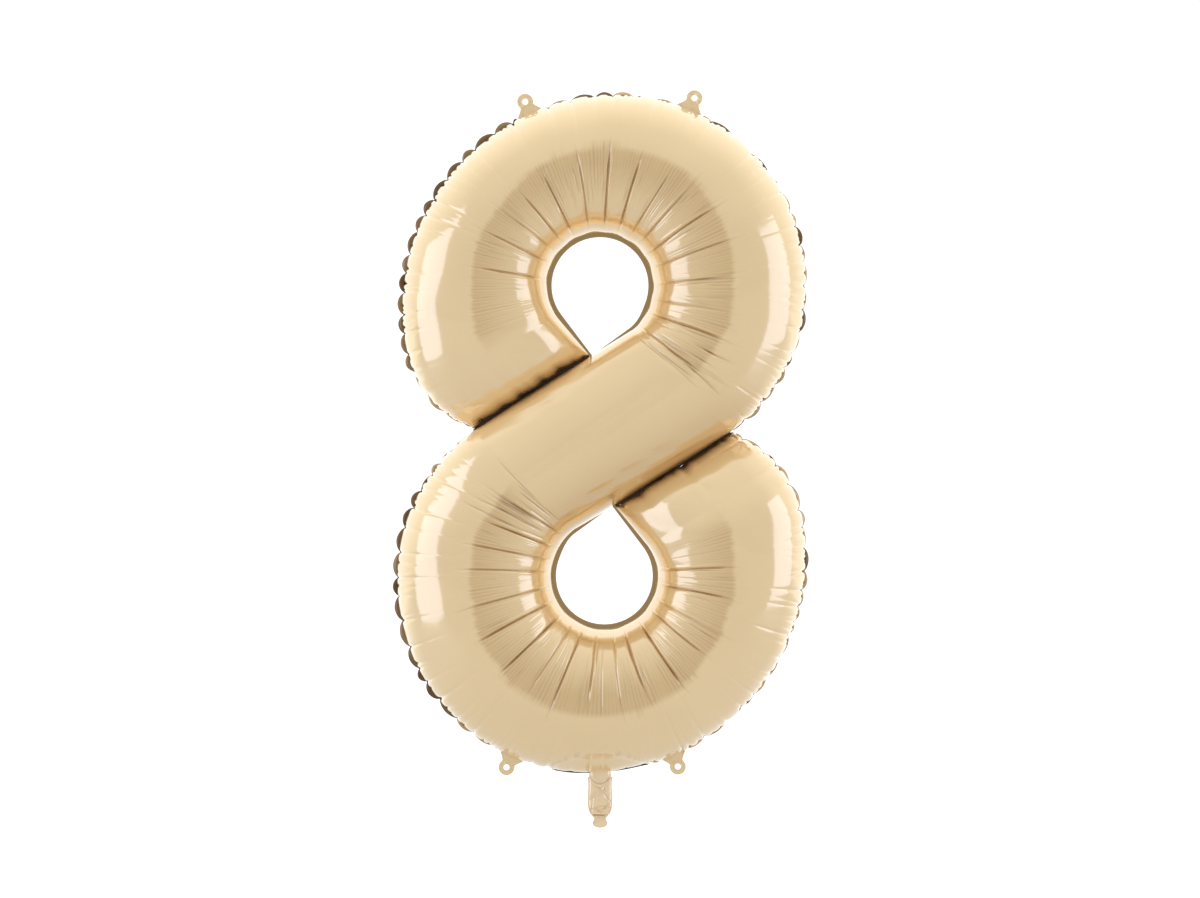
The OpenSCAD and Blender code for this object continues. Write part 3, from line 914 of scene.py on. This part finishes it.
for film_name, side in (("neck_front", FRONT), ("neck_back", BACK)):
    film = crinkled_film(film_name + "_foil", side, top=neck_film_top, foot=-neck_length,
        inset=neck_inset, rest=neck_rest, full=neck_full, seed=501 + side)
    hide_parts(film_name + "_film")
    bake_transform(film)
for film_name, side in (("valve_tail_front", FRONT), ("valve_tail_back", BACK)):
    film = crinkled_film(film_name + "_strip", side, top=tail_top, foot=-tail_length,
        inset=tail_inset, rest=tail_rest, full=tail_full, seed=521 + side)
    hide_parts(film_name + "_film")
    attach(film, "filling_neck")
for node in ("neck_left_weld", "neck_right_weld", "valve_sleeve_front_film", "valve_sleeve_back_film"):
    strip = frame["nodes"][node]
    strip.data.materials.clear()
    strip.data.materials.append(neck_finish)


# Floor: a pale studio floor of matt board under the balloon. Painted light: its colour and its own
# glow grow towards the back, so the film's lower half mirrors a soft gradient.
def graded(nodes, links, source, span, values):
    """A value that goes from one number to another as its source crosses a span."""
    grade = nodes.new("ShaderNodeMapRange")
    grade.inputs["From Min"].default_value, grade.inputs["From Max"].default_value = span
    grade.inputs["To Min"].default_value, grade.inputs["To Max"].default_value = values
    links.new(source, grade.inputs["Value"])
    return grade.outputs["Result"]


floor_half = 20
floor_z = -0.30
floor_corners = [(-floor_half, -floor_half, floor_z), (floor_half, -floor_half, floor_z),
    (floor_half, floor_half, floor_z), (-floor_half, floor_half, floor_z)]
floor_mesh = bpy.data.meshes.new("floor")
floor_mesh.from_pydata(floor_corners, [], [(0, 1, 2, 3)])
floor = linked("floor", floor_mesh)
floor_finish = bpy.data.materials.new("pale_floor")
floor_finish.use_nodes = True
floor_nodes, floor_links = floor_finish.node_tree.nodes, floor_finish.node_tree.links
floor_shader = floor_nodes["Principled BSDF"]
floor_shader.inputs["Roughness"].default_value = 0.9
floor_shader.inputs["Emission Color"].default_value = (1, 1, 1, 1)
floor_place = floor_nodes.new("ShaderNodeTexCoord")
floor_parts = floor_nodes.new("ShaderNodeSeparateXYZ")
floor_links.new(floor_place.outputs["Object"], floor_parts.inputs["Vector"])
floor_span = (0.2, 1.9)
floor_painted_light = {"Base Color": (0.38, 0.45), "Emission Strength": (0.30, 0.72)}
for socket, tones in floor_painted_light.items():
    lit = graded(floor_nodes, floor_links, floor_parts.outputs["Y"], floor_span, tones)
    floor_links.new(lit, floor_shader.inputs[socket])
floor_mesh.materials.append(floor_finish)


# Soft boxes: one large lamp on each side of the balloon, a little in front of it. Each stands
# rolled the same way, and the film mirrors them as its two long highlights.
middle_z = 0.43
box_aim = (0, 0, middle_z)
box_roll = 14
box_colour = (0.66, 0.82, 1.40)


def soft_box(name, place, width, height, power):
    light = bpy.data.lights.new(name, "AREA")
    light.shape = "RECTANGLE"
    light.size = width
    light.size_y = height
    light.energy = power
    light.color = box_colour
    lamp = linked(name, light)
    lamp.location = place
    turn = (Vector(box_aim) - Vector(place)).to_track_quat("-Z", "Y")
    lamp.rotation_euler = (turn @ Quaternion((0, 0, 1), math.radians(box_roll))).to_euler()


soft_box("left_box", (-1.95, -0.70, middle_z + 0.15), width=1.4, height=1.9, power=6.9)
soft_box("right_box", (2.0, -0.55, middle_z + 0.1), width=1.3, height=1.7, power=5.6)


# Studio: white walls all round, darker in front of the balloon than behind it and a little
# lighter overhead. They are what the film mirrors where no lamp shows in it.
world = bpy.data.worlds.new("studio")
bpy.context.scene.world = world
world.use_nodes = True
world_nodes, world_links = world.node_tree.nodes, world.node_tree.links
sky = world_nodes["Background"]
facing = world_nodes.new("ShaderNodeTexCoord")
parts = world_nodes.new("ShaderNodeSeparateXYZ")
world_links.new(facing.outputs["Generated"], parts.inputs["Vector"])
front_to_back = graded(world_nodes, world_links, parts.outputs["Y"], (-0.5, 0.6), (0.69, 1.18))
overhead_light = graded(world_nodes, world_links, parts.outputs["Z"], (0.05, 0.8), (0, 0.18))
both = world_nodes.new("ShaderNodeMath")
world_links.new(front_to_back, both.inputs[0])
world_links.new(overhead_light, both.inputs[1])
world_links.new(both.outputs["Value"], sky.inputs["Strength"])
sky.inputs["Color"].default_value = (1, 1, 1, 1)
bpy.context.scene.view_settings.view_transform = "Standard"
